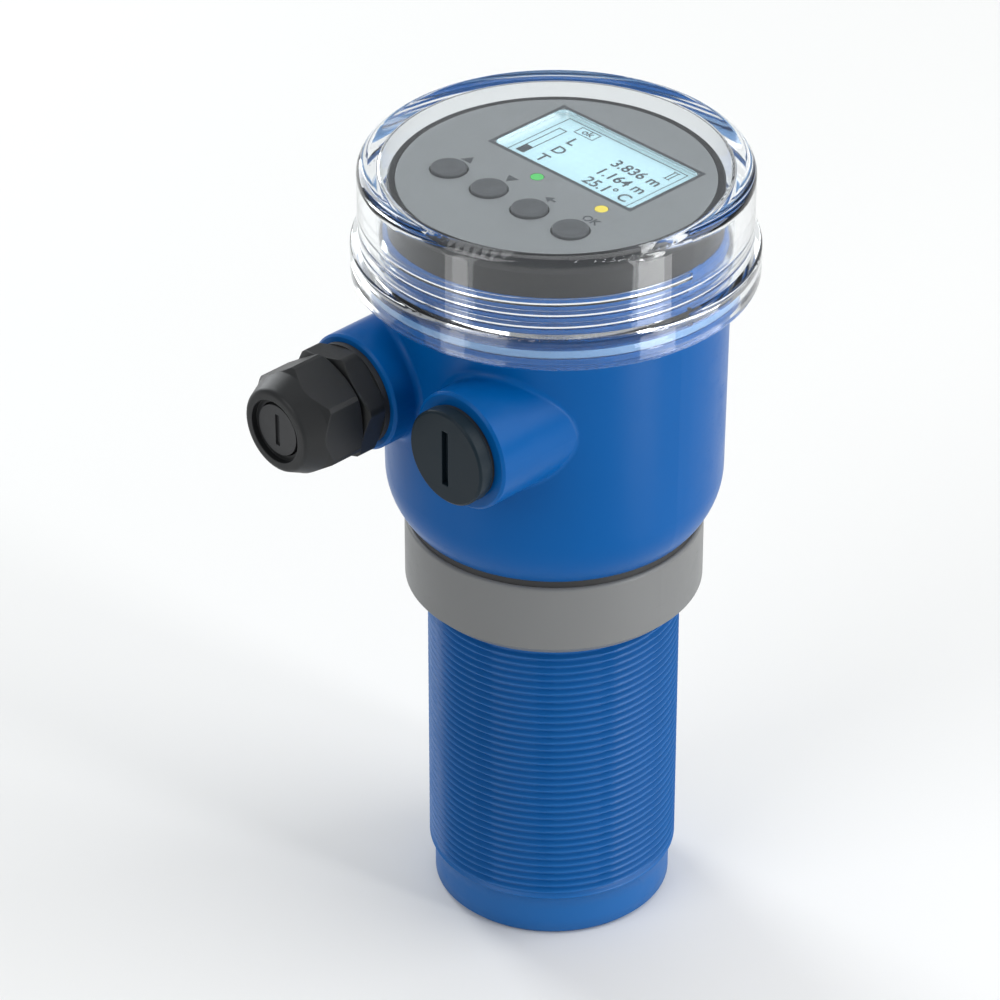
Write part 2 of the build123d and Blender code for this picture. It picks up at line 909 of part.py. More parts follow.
# Dome nut: six rounded corners, a dome that closes to a recessed mouth, and a tapered inside.
def make_gland_nut():
    low = nut_base()
    end = nut_end()
    dome_base = end - nut_dome_length
    envelope = turned(
        [
            (0, low),
            (gland_flats / 2, low),
            (flats_corner_radius, low + flats_corner_fall),
            (flats_corner_radius, dome_base - nut_shoulder_fall),
            (nut_shoulder_radius, dome_base),
            (nut_end_radius, end),
            (0, end),
        ],
        rounds=[(5, nut_end_round)],
    )
    prism = hexagon(gland_flats, low, end, nut_turn)
    front_thread = gland_front_radius + turn_gap
    mouth_floor = end - nut_mouth_depth
    throat_low = mouth_floor - nut_throat_length
    taper_base = gland_collar_top() + gland_front_length + finger_length - finger_taper + part_gap
    inside = turned(
        [
            (0, low),
            (front_thread, low),
            (front_thread, taper_base),
            (insert_radius + turn_gap, throat_low - nut_cone_length),
            (nut_throat, throat_low),
            (nut_throat, mouth_floor),
            (nut_mouth, mouth_floor),
            (nut_mouth, end),
            (0, end),
        ]
    )
    return at_entry((envelope & prism) - inside, -1)


def insert_end():
    return nut_end() - nut_mouth_depth - nut_throat_length - nut_cone_length - part_gap


def make_gland_insert():
    end = insert_end()
    low = end - insert_length
    sleeve = turned(
        [
            (insert_bore, low),
            (insert_radius - insert_lead_width, low),
            (insert_radius, low + insert_lead_length),
            (insert_radius, end - insert_nose_length),
            (insert_radius - insert_nose_width, end),
            (insert_bore, end),
        ]
    )
    return at_entry(sleeve, -1)


# Slotted stopper that closes the empty gland.
def make_gland_stopper():
    head_low = insert_end()
    shaft = rod(insert_bore - bond_gap, head_low - stopper_shaft_length, head_low)
    head_radius = nut_throat - turn_gap
    head_top = nut_end() - nut_mouth_depth + stopper_proud
    head = rod(head_radius, head_low, head_top)
    slot = block(stopper_slot_width, stopper_slot_length, head_top - stopper_slot_depth, head_top)
    return at_entry(shaft + head - slot, -1)


# Slotted plug that closes the unused entry, hollow from behind as moulded plugs are.
def make_blanking_plug():
    head_low = boss_reach + plug_seal_height
    head_top = head_low + plug_head_height
    thread_low = head_low - plug_thread_length
    body = turned(
        [
            (0, thread_low),
            (entry_thread_fit - thread_lead, thread_low),
            (entry_thread_fit, thread_low + thread_lead),
            (entry_thread_fit, head_low),
            (plug_head_radius, head_low),
            (plug_head_radius, head_top - plug_chamfer),
            (plug_head_radius - plug_chamfer, head_top),
            (0, head_top),
        ]
    )
    body -= rod(plug_hollow, thread_low, head_low)
    body -= block(plug_slot_width, plug_slot_length, head_top - plug_slot_depth, head_top)
    return at_entry(body, 1)


def make_plug_seal():
    outer = plug_head_radius - part_gap
    seal = tube(outer, plug_seal_inner, boss_reach, boss_reach + plug_seal_height)
    return at_entry(seal, 1)


pieces = {
    "transducer_shank": make_shank(),
    "membrane": make_membrane(),
    "piezo_disc": make_piezo(),
    "damping_cup": make_damping_cup(),
    "temperature_capsule": make_temperature_capsule(),
    "potting": make_potting(),
    "ring_gasket": make_ring_gasket(),
    "lock_ring": make_lock_ring(),
    "head_housing": make_head(),
    "cap_seal": make_cap_seal(),
    "clear_cap": make_cap(),
    "display_case": make_display_case(),
    "faceplate": make_faceplate(),
    "display_lens": make_display_lens(),
    "display_glass": make_display_glass(),
    "display_backlight": make_backlight(),
    "display_board": make_display_board(),
    "display_screws": make_display_screws(),
    "key_switches": make_key_switches(),
    "terminal_board": make_terminal_board(),
    "board_screws": make_board_screws(),
    "terminal_block": make_terminal_block(),
    "terminal_screws": make_terminal_screws(),
    "header_socket": make_header_socket(),
    "header_pins": make_header_pins(),
    "driver_board": make_driver_board(),
    "drive_coil": make_drive_coil(),
    "capacitors": make_capacitors(),
    "board_link": make_board_link(),
    "gland_body": make_gland_body(),
    "gland_seal": make_gland_seal(),
    "gland_nut": make_gland_nut(),
    "gland_insert": make_gland_insert(),
    "gland_stopper": make_gland_stopper(),
    "blanking_plug": make_blanking_plug(),
    "plug_seal": make_plug_seal(),
}
for key_name, (key_x, key_y) in zip(key_names, key_places()):
    pieces[key_name] = make_key(key_x, key_y)
for lamp_name, lamp_x in zip(lamp_names, lamp_places):
    pieces[lamp_name] = make_lamp(lamp_x)

for name, shape in pieces.items():
    export_step(shape, f"parts/{name}.step")
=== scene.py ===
import json
import math

import bmesh
import bpy
import numpy as np
from mathutils import Matrix, Vector


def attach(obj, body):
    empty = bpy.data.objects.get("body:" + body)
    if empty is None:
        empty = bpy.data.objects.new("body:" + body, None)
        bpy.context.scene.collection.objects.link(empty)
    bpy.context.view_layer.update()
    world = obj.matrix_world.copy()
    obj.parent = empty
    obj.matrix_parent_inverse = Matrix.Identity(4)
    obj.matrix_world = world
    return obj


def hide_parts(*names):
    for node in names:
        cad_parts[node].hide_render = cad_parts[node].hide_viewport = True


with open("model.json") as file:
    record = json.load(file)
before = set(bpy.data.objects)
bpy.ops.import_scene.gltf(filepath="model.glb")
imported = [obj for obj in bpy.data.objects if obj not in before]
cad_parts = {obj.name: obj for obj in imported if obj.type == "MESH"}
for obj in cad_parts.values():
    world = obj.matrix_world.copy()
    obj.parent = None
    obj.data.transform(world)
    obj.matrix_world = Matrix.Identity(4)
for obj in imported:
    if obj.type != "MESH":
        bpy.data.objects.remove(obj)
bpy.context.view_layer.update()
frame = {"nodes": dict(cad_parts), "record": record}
solids = frame["nodes"]
scene = bpy.context.scene

mm = 0.001


def addNode(tree, kind, place, **settings):
    made = tree.nodes.new(kind)
    made.location = place
    for name, value in settings.items():
        setattr(made, name, value)
    return made


# Gives a socket either a link or a constant
def feed(tree, value, socket):
    if isinstance(value, bpy.types.NodeSocket):
        tree.links.new(value, socket)
    else:
        socket.default_value = value


def mathNode(tree, operation, first, second, place, clamp=False):
    made = addNode(tree, "ShaderNodeMath", place, operation=operation, use_clamp=clamp)
    feed(tree, first, made.inputs[0])
    feed(tree, second, made.inputs[1])
    return made.outputs[0]


def mixTones(tree, factor, first, second, place):
    made = addNode(tree, "ShaderNodeMix", place, data_type="RGBA")
    feed(tree, factor, made.inputs[0])
    for value, socket in ((first, made.inputs[6]), (second, made.inputs[7])):
        feed(tree, (*value, 1) if isinstance(value, tuple) else value, socket)
    return made.outputs[2]


def objectPlace(tree, place):
    return addNode(tree, "ShaderNodeTexCoord", place).outputs["Object"]


def noiseFac(tree, where, scale, detail, place, distortion=0.0):
    made = addNode(tree, "ShaderNodeTexNoise", place)
    tree.links.new(where, made.inputs["Vector"])
    feed(tree, scale, made.inputs["Scale"])
    made.inputs["Detail"].default_value = detail
    made.inputs["Distortion"].default_value = distortion
    return made.outputs["Fac"]


def waveFac(tree, where, scale, direction, place, distortion=0.0):
    made = addNode(tree, "ShaderNodeTexWave", place, bands_direction=direction)
    tree.links.new(where, made.inputs["Vector"])
    made.inputs["Scale"].default_value = scale
    made.inputs["Distortion"].default_value = distortion
    return made.outputs["Fac"]


def cellNode(tree, where, scale, place, randomness=1.0, distance="EUCLIDEAN"):
    made = addNode(tree, "ShaderNodeTexVoronoi", place, distance=distance)
    tree.links.new(where, made.inputs["Vector"])
    made.inputs["Scale"].default_value = scale
    made.inputs["Randomness"].default_value = randomness
    return made


def bumpNode(tree, height, depth, place):
    made = addNode(tree, "ShaderNodeBump", place)
    tree.links.new(height, made.inputs["Height"])
    feed(tree, depth, made.inputs["Distance"])
    return made


def startGroup(name, inputs, outputs):
    group = bpy.data.node_groups.new(name, "ShaderNodeTree")
    for label, kind, value in inputs:
        socket = group.interface.new_socket(name=label, in_out="INPUT", socket_type=kind)
        socket.default_value = value
    for label, kind in outputs:
        group.interface.new_socket(name=label, in_out="OUTPUT", socket_type=kind)
    entry = addNode(group, "NodeGroupInput", (-1200, 0))
    leave = addNode(group, "NodeGroupOutput", (900, 0))
    return group, entry.outputs, leave.inputs


def placeGroup(tree, group, place, values):
    made = addNode(tree, "ShaderNodeGroup", place)
    made.node_tree = group
    for label, value in values.items():
        made.inputs[label].default_value = value
    return made


skinPattern = {
    "driftScale": 55.0, "driftDetail": 4.0, "grainDetail": 3.0, "polishScale": 210.0, "polishDetail": 5.0,
    "edgeSamples": 6, "edgeGain": 6.0,
}


# Moulded skin: broad colour drift, fine grain, uneven polish, and edges that are rounded and a little
# paler: a painted highlight along the edges, partly edge wear. An edge is where the rounded normal leaves the
# flat one.
def makeMouldedSkin():
    group, entry, leave = startGroup(
        "mouldedSkin",
        [
            ("Tone", "NodeSocketColor", (0.5, 0.5, 0.5, 1)),
            ("Drift", "NodeSocketFloat", 0.05),
            ("Polish", "NodeSocketFloat", 0.4),
            ("Unevenness", "NodeSocketFloat", 0.08),
            ("Grain Scale", "NodeSocketFloat", 1500.0),
            ("Grain Depth", "NodeSocketFloat", 0.00001),
            ("Edge Radius", "NodeSocketFloat", 0.0003),
            ("Edge Wear And Highlight", "NodeSocketFloat", 0.1),
        ],
        [
            ("Color", "NodeSocketColor"),
            ("Roughness", "NodeSocketFloat"),
            ("Normal", "NodeSocketVector"),
        ],
    )
    look = skinPattern
    where = objectPlace(group, (-1200, 400))
    broad = noiseFac(group, where, look["driftScale"], look["driftDetail"], (-900, 400))
    fine = noiseFac(group, where, entry["Grain Scale"], look["grainDetail"], (-900, 100))
    cloudy = noiseFac(group, where, look["polishScale"], look["polishDetail"], (-900, -200))

    rounded = addNode(group, "ShaderNodeBevel", (-900, -500), samples=look["edgeSamples"])
    group.links.new(entry["Edge Radius"], rounded.inputs["Radius"])
    flat = addNode(group, "ShaderNodeNewGeometry", (-900, -700)).outputs["Normal"]
    turned = addNode(group, "ShaderNodeVectorMath", (-600, -600), operation="DOT_PRODUCT")
    group.links.new(rounded.outputs["Normal"], turned.inputs[0])
    group.links.new(flat, turned.inputs[1])
    atEdge = mathNode(group, "SUBTRACT", 1.0, turned.outputs["Value"], (-400, -600))
    atEdge = mathNode(group, "MULTIPLY", atEdge, look["edgeGain"], (-250, -600), clamp=True)
    # painted highlight: the colour is brightened along the edges, partly as edge wear
    lift = mathNode(group, "MULTIPLY", atEdge, entry["Edge Wear And Highlight"], (-100, -500))

    drift = mathNode(group, "SUBTRACT", broad, 0.5, (-600, 400))
    drift = mathNode(group, "MULTIPLY", drift, entry["Drift"], (-450, 400))
    brightness = mathNode(group, "ADD", drift, 1.0, (-300, 400))
    brightness = mathNode(group, "ADD", brightness, lift, (0, 300))
    tone = addNode(group, "ShaderNodeVectorMath", (300, 300), operation="SCALE")
    group.links.new(entry["Tone"], tone.inputs[0])
    group.links.new(brightness, tone.inputs["Scale"])
    group.links.new(tone.outputs["Vector"], leave["Color"])

    uneven = mathNode(group, "SUBTRACT", cloudy, 0.5, (-600, -150))
    uneven = mathNode(group, "MULTIPLY", uneven, entry["Unevenness"], (-450, -150))
    polish = mathNode(group, "ADD", uneven, entry["Polish"], (0, 0), clamp=True)
    group.links.new(polish, leave["Roughness"])

    grain = bumpNode(group, fine, entry["Grain Depth"], (300, -200))
    group.links.new(rounded.outputs["Normal"], grain.inputs["Normal"])
    group.links.new(grain.outputs["Normal"], leave["Normal"])
    return group


markPattern = {
    "turns": ((0.3, 0.2, 0.5), (0.9, 1.3, 2.1)),  # in radians, one for each set of hairlines
    "stretches": ((30, 1400, 900), (1100, 40, 1300)), "lineDetail": 2.0, "lineRange": (0.66, 0.74),
    "smearScale": 90.0, "smearDetail": 6.0, "smearDistortion": 0.8, "smearRange": (0.5, 0.75),
}


def rangeMask(tree, value, limits, place):
    made = addNode(tree, "ShaderNodeMapRange", place)
    made.inputs["From Min"].default_value, made.inputs["From Max"].default_value = limits
    tree.links.new(value, made.inputs["Value"])
    return made.outputs["Result"]


# Handling marks: two sets of fine crossed hairlines and soft smears, as a mask from 0 to 1.
def makeHandlingMarks():
    group, entry, leave = startGroup(
        "handlingMarks",
        [("Hairlines", "NodeSocketFloat", 0.3), ("Smears", "NodeSocketFloat", 0.3)],
        [("Mask", "NodeSocketFloat")],
    )
    look = markPattern
    where = objectPlace(group, (-1200, 0))
    sets = []
    for row, (turn, stretch) in enumerate(zip(look["turns"], look["stretches"])):
        turnBy = addNode(group, "ShaderNodeMapping", (-950, -250 * row))
        turnBy.inputs["Rotation"].default_value = turn
        turnBy.inputs["Scale"].default_value = stretch
        group.links.new(where, turnBy.inputs["Vector"])
        streak = noiseFac(group, turnBy.outputs["Vector"], 1.0, look["lineDetail"], (-700, -250 * row))
        sets.append(rangeMask(group, streak, look["lineRange"], (-450, -250 * row)))
    lines = mathNode(group, "MAXIMUM", *sets, (-200, -100))
    smear = noiseFac(
        group, where, look["smearScale"], look["smearDetail"], (-700, -600), look["smearDistortion"])
    soft = rangeMask(group, smear, look["smearRange"], (-450, -600))
    lines = mathNode(group, "MULTIPLY", lines, entry["Hairlines"], (0, 0))
    soft = mathNode(group, "MULTIPLY", soft, entry["Smears"], (0, -300))
    group.links.new(mathNode(group, "ADD", lines, soft, (250, 0), clamp=True), leave["Mask"])
    return group


mouldedSkin = makeMouldedSkin()
handlingMarks = makeHandlingMarks()


def startMaterial(name):
    material = bpy.data.materials.new(name)
    material.use_nodes = True
    tree = material.node_tree
    tree.nodes.clear()
    output = addNode(tree, "ShaderNodeOutputMaterial", (900, 0))
    shader = addNode(tree, "ShaderNodeBsdfPrincipled", (600, 0))
    tree.links.new(shader.outputs["BSDF"], output.inputs["Surface"])
    return material, tree, shader.inputs


def marksMask(tree, wear, place):
    return placeGroup(tree, handlingMarks, place, wear).outputs["Mask"]


# Plastics, rubber, resin and ceramic: tone is linear colour, depth and edge are in metres. Where a
# finish gives no gloss or coat, it has the shader's usual gloss and no coat.
# lift is how much the edges are brightened: a painted highlight, partly edge wear
mouldings = {
    "head_blue": {
        "tone": (0.0, 0.080, 0.288), "drift": 0.05, "polish": 0.30, "uneven": 0.10,
        "scale": 2600, "depth": 0.25e-5, "edge": 3.5e-4, "lift": 0.25, "gloss": 0.11},
    "shank_blue": {
        "tone": (0.004, 0.098, 0.320), "drift": 0.08, "polish": 0.44, "uneven": 0.14,
        "scale": 2200, "depth": 0.4e-5, "edge": 1.0e-4, "lift": 0.15, "gloss": 0.30},
    "ring_grey": {
        "tone": (0.160, 0.164, 0.165), "drift": 0.04, "polish": 0.40, "uneven": 0.10,
        "scale": 1300, "depth": 0.4e-5, "edge": 4e-4, "lift": 0.08, "gloss": 0.3},
    "seal_rubber": {
        "tone": (0.016, 0.016, 0.017), "drift": 0.20, "polish": 0.62, "uneven": 0.16,
        "scale": 2300, "depth": 0.7e-5, "edge": 2e-4, "lift": 0.5},
    "silicone_pale": {
        "tone": (0.12, 0.25, 0.46), "drift": 0.10, "polish": 0.42, "uneven": 0.10,
        "scale": 1800, "depth": 0.4e-5, "edge": 2e-4, "lift": 0.1},
    "membrane_grey": {
        "tone": (0.52, 0.52, 0.50), "drift": 0.06, "polish": 0.55, "uneven": 0.12,
        "scale": 2600, "depth": 1.5e-5, "edge": 2e-4, "lift": 0.05},
    "piezo_ceramic": {
        "tone": (0.60, 0.54, 0.44), "drift": 0.12, "polish": 0.5, "uneven": 0.2,
        "scale": 4000, "depth": 1.2e-5, "edge": 1.5e-4, "lift": 0.1},
    "damping_foam": {
        "tone": (0.11, 0.10, 0.09), "drift": 0.3, "polish": 0.85, "uneven": 0.1,
        "scale": 1400, "depth": 9e-5, "edge": 2e-4, "lift": 0.1},
    "potting_resin": {
        "tone": (0.012, 0.012, 0.013), "drift": 0.2, "polish": 0.2, "uneven": 0.2,
        "scale": 120, "depth": 8e-5, "edge": 2e-4, "lift": 0.1, "coat": 0.2},
    "case_dark": {
        "tone": (0.007, 0.008, 0.010), "drift": 0.08, "polish": 0.46, "uneven": 0.12,
        "scale": 2400, "depth": 0.3e-5, "edge": 2e-4, "lift": 0.3, "gloss": 0.25},
    "faceplate_grey": {
        "tone": (0.168, 0.181, 0.188), "drift": 0.04, "polish": 0.48, "uneven": 0.08,
        "scale": 3200, "depth": 0.15e-5, "edge": 1e-4, "lift": 0.05},
    "switch_black": {
        "tone": (0.014, 0.014, 0.015), "drift": 0.15, "polish": 0.5, "uneven": 0.1,
        "scale": 3000, "depth": 1.2e-5, "edge": 1.5e-4, "lift": 0.4},
    "terminal_green": {
        "tone": (0.03, 0.22, 0.06), "drift": 0.08, "polish": 0.42, "uneven": 0.1,
        "scale": 2200, "depth": 1.2e-5, "edge": 2e-4, "lift": 0.25},
    "gland_black": {
        "tone": (0.015, 0.016, 0.017), "drift": 0.12, "polish": 0.40, "uneven": 0.14,
        "scale": 1700, "depth": 0.7e-5, "edge": 4e-4, "lift": 0.6, "gloss": 0.25},
    "stopper_black": {
        "tone": (0.026, 0.027, 0.029), "drift": 0.12, "polish": 0.5, "uneven": 0.14,
        "scale": 1900, "depth": 0.6e-5, "edge": 2e-4, "lift": 0.7, "gloss": 0.35},
    "plug_black": {
        "tone": (0.007, 0.015, 0.022), "drift": 0.12, "polish": 0.38, "uneven": 0.14,
        "scale": 1700, "depth": 0.7e-5, "edge": 3.5e-4, "lift": 0.35, "gloss": 0.15},
    "key_grey": {
        "tone": (0.045, 0.05, 0.056), "drift": 0.06, "polish": 0.5, "uneven": 0.1,
        "scale": 2600, "depth": 0.3e-5, "edge": 2.5e-4, "lift": 0.3},
}
mouldedWear = {"Hairlines": 0.10, "Smears": 0.08}
coatPolish = 0.12


def makeMoulding(name, look):
    material, tree, shader = startMaterial(name)
    skin = placeGroup(tree, mouldedSkin, (-200, 0), {
        "Tone": (*look["tone"], 1), "Drift": look["drift"], "Polish": look["polish"],
        "Unevenness": look["uneven"], "Grain Scale": look["scale"], "Grain Depth": look["depth"],
        "Edge Radius": look["edge"], "Edge Wear And Highlight": look["lift"]})
    marks = marksMask(tree, mouldedWear, (-200, -400))
    tree.links.new(skin.outputs["Color"], shader["Base Color"])
    rough = mathNode(tree, "ADD", skin.outputs["Roughness"], marks, (300, -200), clamp=True)
    tree.links.new(rough, shader["Roughness"])
    tree.links.new(skin.outputs["Normal"], shader["Normal"])
    shader["Coat Weight"].default_value = look.get("coat", 0.0)
    shader["Coat Roughness"].default_value = coatPolish
    shader["Specular IOR Level"].default_value = look.get("gloss", 0.5)
    return material


materials = {name: makeMoulding(name, look) for name, look in mouldings.items()}
print("mouldings", len(materials))

# Metals: turned or drawn, with grooves that run along the axes whose value in lines is small
metals = {
    "screw_steel": {"tone": (0.60, 0.60, 0.58), "polish": 0.30, "lines": (500, 500, 4000), "depth": 8e-6},
    "capsule_steel": {"tone": (0.62, 0.61, 0.60), "polish": 0.24, "lines": (300, 300, 6000), "depth": 5e-6},
    "can_aluminium": {"tone": (0.74, 0.74, 0.76), "polish": 0.32, "lines": (2500, 200, 2500), "depth": 5e-6},
    "pin_brass": {"tone": (0.83, 0.62, 0.24), "polish": 0.26, "lines": (3000, 3000, 250), "depth": 4e-6},
}
metalWear = {"Hairlines": 0.2, "Smears": 0.35}
metalPattern = {"detail": 4.0, "shade": 0.72, "dulling": 0.3}


def makeMetal(name, look):
    material, tree, shader = startMaterial(name)
    stretch = addNode(tree, "ShaderNodeMapping", (-700, 0))
    stretch.inputs["Scale"].default_value = look["lines"]
    tree.links.new(objectPlace(tree, (-900, 0)), stretch.inputs["Vector"])
    brushed = noiseFac(tree, stretch.outputs["Vector"], 1.0, metalPattern["detail"], (-500, 0))
    grooves = bumpNode(tree, brushed, look["depth"], (200, -300))
    tree.links.new(grooves.outputs["Normal"], shader["Normal"])
    shaded = tuple(metalPattern["shade"] * part for part in look["tone"])
    tree.links.new(mixTones(tree, brushed, look["tone"], shaded, (200, 100)), shader["Base Color"])
    dull = marksMask(tree, metalWear, (-500, -350))
    rough = mathNode(tree, "MULTIPLY", dull, metalPattern["dulling"], (0, -150))
    rough = mathNode(tree, "ADD", rough, look["polish"], (200, -100), clamp=True)
    tree.links.new(rough, shader["Roughness"])
    shader["Metallic"].default_value = 1.0
    return material


materials.update({name: makeMetal(name, look) for name, look in metals.items()})

# Clear and tinted plastics; shade is how much of the light's shadow they still throw
clears = {
    "cap_clear": {
        "tint": (0.965, 0.985, 0.995), "polish": 0.035, "through": 1.0, "index": 1.49, "glow": 0.0,
        "shade": 0.12},
    "lens_clear": {
        "tint": (0.97, 0.99, 1.0), "polish": 0.03, "through": 1.0, "index": 1.45, "glow": 0.0,
        "shade": 0.05},
    "lamp_green": {
        "tint": (0.10, 0.56, 0.14), "polish": 0.12, "through": 0.35, "index": 1.5, "glow": 0.22,
        "shade": 0.4},
    "lamp_yellow": {
        "tint": (0.78, 0.66, 0.10), "polish": 0.12, "through": 0.35, "index": 1.5, "glow": 0.22,
        "shade": 0.4},
}
clearWear = {"Hairlines": 0.25, "Smears": 0.15}
clearPattern = {"dulling": 0.22, "rippleScale": 70.0, "rippleDetail": 1.0, "rippleDepth": 3e-5}


def makeClear(name, look):
    material, tree, shader = startMaterial(name)
    marks = marksMask(tree, clearWear, (-500, 0))
    rough = mathNode(tree, "MULTIPLY", marks, clearPattern["dulling"], (-100, -100))
    rough = mathNode(tree, "ADD", rough, look["polish"], (100, -100), clamp=True)
    tree.links.new(rough, shader["Roughness"])
    where = objectPlace(tree, (-700, 300))
    ripple = noiseFac(tree, where, clearPattern["rippleScale"], clearPattern["rippleDetail"], (-500, 300))
    wavy = bumpNode(tree, ripple, clearPattern["rippleDepth"], (100, 300))  # faint flow of the moulding
    tree.links.new(wavy.outputs["Normal"], shader["Normal"])
    forShadow = addNode(tree, "ShaderNodeLightPath", (-300, -400)).outputs["Is Shadow Ray"]
    letThrough = mathNode(tree, "MULTIPLY", forShadow, 1.0 - look["shade"], (-100, -400))
    tree.links.new(mathNode(tree, "SUBTRACT", 1.0, letThrough, (100, -400)), shader["Alpha"])
    shader["Base Color"].default_value = (*look["tint"], 1)
    shader["Transmission Weight"].default_value = look["through"]
    shader["IOR"].default_value = look["index"]
    shader["Emission Color"].default_value = (*look["tint"], 1)
    shader["Emission Strength"].default_value = look["glow"]
    return material


materials.update({name: makeClear(name, look) for name, look in clears.items()})

board = {
    "mask": (0.010, 0.095, 0.030), "track": (0.022, 0.17, 0.055), "pad": (0.62, 0.55, 0.36),
    "patchScale": 170.0, "trackScale": 420.0, "trackEdge": 0.62, "padScale": 330.0, "padSize": 0.16,
    "relief": 4e-5, "polish": 0.32,
}


# Circuit board: solder mask over runs of track that change direction from patch to patch, with pads
def makeBoard():
    material, tree, shader = startMaterial("board_green")
    where = objectPlace(tree, (-1300, 0))
    patches = cellNode(tree, where, board["patchScale"], (-1000, 300), distance="CHEBYCHEV")
    across = mathNode(tree, "GREATER_THAN", patches.outputs["Color"], 0.5, (-750, 300))
    chosen = addNode(tree, "ShaderNodeMix", (-500, 0))
    tree.links.new(across, chosen.inputs[0])
    for row, direction in enumerate(("X", "Y")):
        wave = waveFac(tree, where, board["trackScale"], direction, (-1000, -250 * row))
        run = mathNode(tree, "GREATER_THAN", wave, board["trackEdge"], (-750, -250 * row))
        tree.links.new(run, chosen.inputs[2 + row])
    track = chosen.outputs[0]
    dots = cellNode(tree, where, board["padScale"], (-1000, -600))
    pad = mathNode(tree, "LESS_THAN", dots.outputs["Distance"], board["padSize"], (-750, -600))
    colour = mixTones(tree, track, board["mask"], board["track"], (-250, 100))
    tree.links.new(mixTones(tree, pad, colour, board["pad"], (0, 100)), shader["Base Color"])
    raised = bumpNode(tree, mathNode(tree, "ADD", track, pad, (-100, -300)), board["relief"], (100, -300))
    tree.links.new(raised.outputs["Normal"], shader["Normal"])
    shader["Roughness"].default_value = board["polish"]
    return material


winding = {
    "deep": (0.20, 0.065, 0.02), "bright": (0.55, 0.20, 0.07), "scale": 480.0, "distortion": 0.6,
    "relief": 1e-4, "polish": 0.34, "metal": 0.6,
}


# Copper winding under tape: fine turns round the bobbin's axis
def makeWinding():
    material, tree, shader = startMaterial("coil_copper")
    where = objectPlace(tree, (-900, 0))
    turns = waveFac(tree, where, winding["scale"], "Y", (-600, 0), winding["distortion"])
    tint = mixTones(tree, turns, winding["deep"], winding["bright"], (-200, 100))
    tree.links.new(tint, shader["Base Color"])
    ridges = bumpNode(tree, turns, winding["relief"], (-200, -200))
    tree.links.new(ridges.outputs["Normal"], shader["Normal"])
    shader["Roughness"].default_value = winding["polish"]
    shader["Metallic"].default_value = winding["metal"]
    return material


displayCell = {
    "pale": (0.56, 0.80, 0.86), "deep": (0.47, 0.71, 0.78), "gridScale": 145.0, "lineEdge": 0.9,
    "gridShade": 0.35, "cloudScale": 45.0, "cloudDetail": 2.0, "cloudShade": 0.5, "glow": 0.30,
    "polish": 0.22,
}


# Liquid-crystal cell: pale cyan reflector with the fine dot grid of its matrix, lit softly from behind
def makeDisplayCell():
    look = displayCell
    material, tree, shader = startMaterial("display_glass")
    where = objectPlace(tree, (-1100, 0))
    lines = []
    for row, direction in enumerate(("X", "Y")):
        wave = waveFac(tree, where, look["gridScale"], direction, (-800, -250 * row))
        lines.append(mathNode(tree, "GREATER_THAN", wave, look["lineEdge"], (-550, -250 * row)))
    grid = mathNode(tree, "MAXIMUM", *lines, (-350, -100))
    cloud = noiseFac(tree, where, look["cloudScale"], look["cloudDetail"], (-800, -600))
    gridShade = mathNode(tree, "MULTIPLY", grid, look["gridShade"], (-200, -100))
    cloudShade = mathNode(tree, "MULTIPLY", cloud, look["cloudShade"], (-200, -300))
    shade = mathNode(tree, "ADD", gridShade, cloudShade, (0, -150), clamp=True)
    tint = mixTones(tree, shade, look["pale"], look["deep"], (200, 100))
    tree.links.new(tint, shader["Base Color"])
    tree.links.new(tint, shader["Emission Color"])
    shader["Emission Strength"].default_value = look["glow"]
    shader["Roughness"].default_value = look["polish"]
    return material


diffuser = {
    "pale": (0.80, 0.84, 0.84), "deep": (0.62, 0.66, 0.66), "scale": 900.0, "randomness": 0.1, "polish": 0.5,
}


# White diffuser with the dotted light-guide pattern
def makeDiffuser():
    material, tree, shader = startMaterial("backlight_white")
    where = objectPlace(tree, (-900, 0))
    dots = cellNode(tree, where, diffuser["scale"], (-600, 0), diffuser["randomness"])
    tint = mixTones(tree, dots.outputs["Distance"], diffuser["pale"], diffuser["deep"], (-200, 100))
    tree.links.new(tint, shader["Base Color"])
    shader["Roughness"].default_value = diffuser["polish"]
    return material


ink = {"speckleScale": 5000.0, "speckleDetail": 2.0, "pale": 1.5, "polish": 0.45}


# Printing ink: dense, with a faint speckle
def makeInk(name, tone):
    material, tree, shader = startMaterial(name)
    where = objectPlace(tree, (-900, 0))
    speckle = noiseFac(tree, where, ink["speckleScale"], ink["speckleDetail"], (-600, 0))
    paler = tuple(ink["pale"] * part for part in tone)
    tree.links.new(mixTones(tree, speckle, tone, paler, (-200, 100)), shader["Base Color"])
    shader["Roughness"].default_value = ink["polish"]
    return material


materials["board_green"] = makeBoard()
materials["coil_copper"] = makeWinding()
materials["display_glass"] = makeDisplayCell()
materials["backlight_white"] = makeDiffuser()
printInk = makeInk("printInk", (0.030, 0.034, 0.040))
segmentInk = makeInk("segmentInk", (0.012, 0.020, 0.030))
print("materials", len(bpy.data.materials))

ownFinish = {"cap_seal": "silicone_pale"}  # solids whose finish isn't their slot's usual one

for part in frame["record"]["subparts"]:
    skin = solids[part["node"]].data.materials
    skin.clear()
    skin.append(materials[ownFinish.get(part["node"], part["material_slot"])])
print("dressed", len(solids), "solids")


# Quads of a grid of points, row by row; a closed direction joins its last line to its first.
def gridFaces(rows, columns, rowsClosed, columnsClosed):
    down = np.arange(rows if rowsClosed else rows - 1)[:, None]
    across = np.arange(columns if columnsClosed else columns - 1)[None, :]
    below, right = (down + 1) % rows, (across + 1) % columns
    corners = [
        down * columns + across, down * columns + right, below * columns + right, below * columns + across]
    return np.stack(np.broadcast_arrays(*corners), axis=-1).reshape(-1, 4)


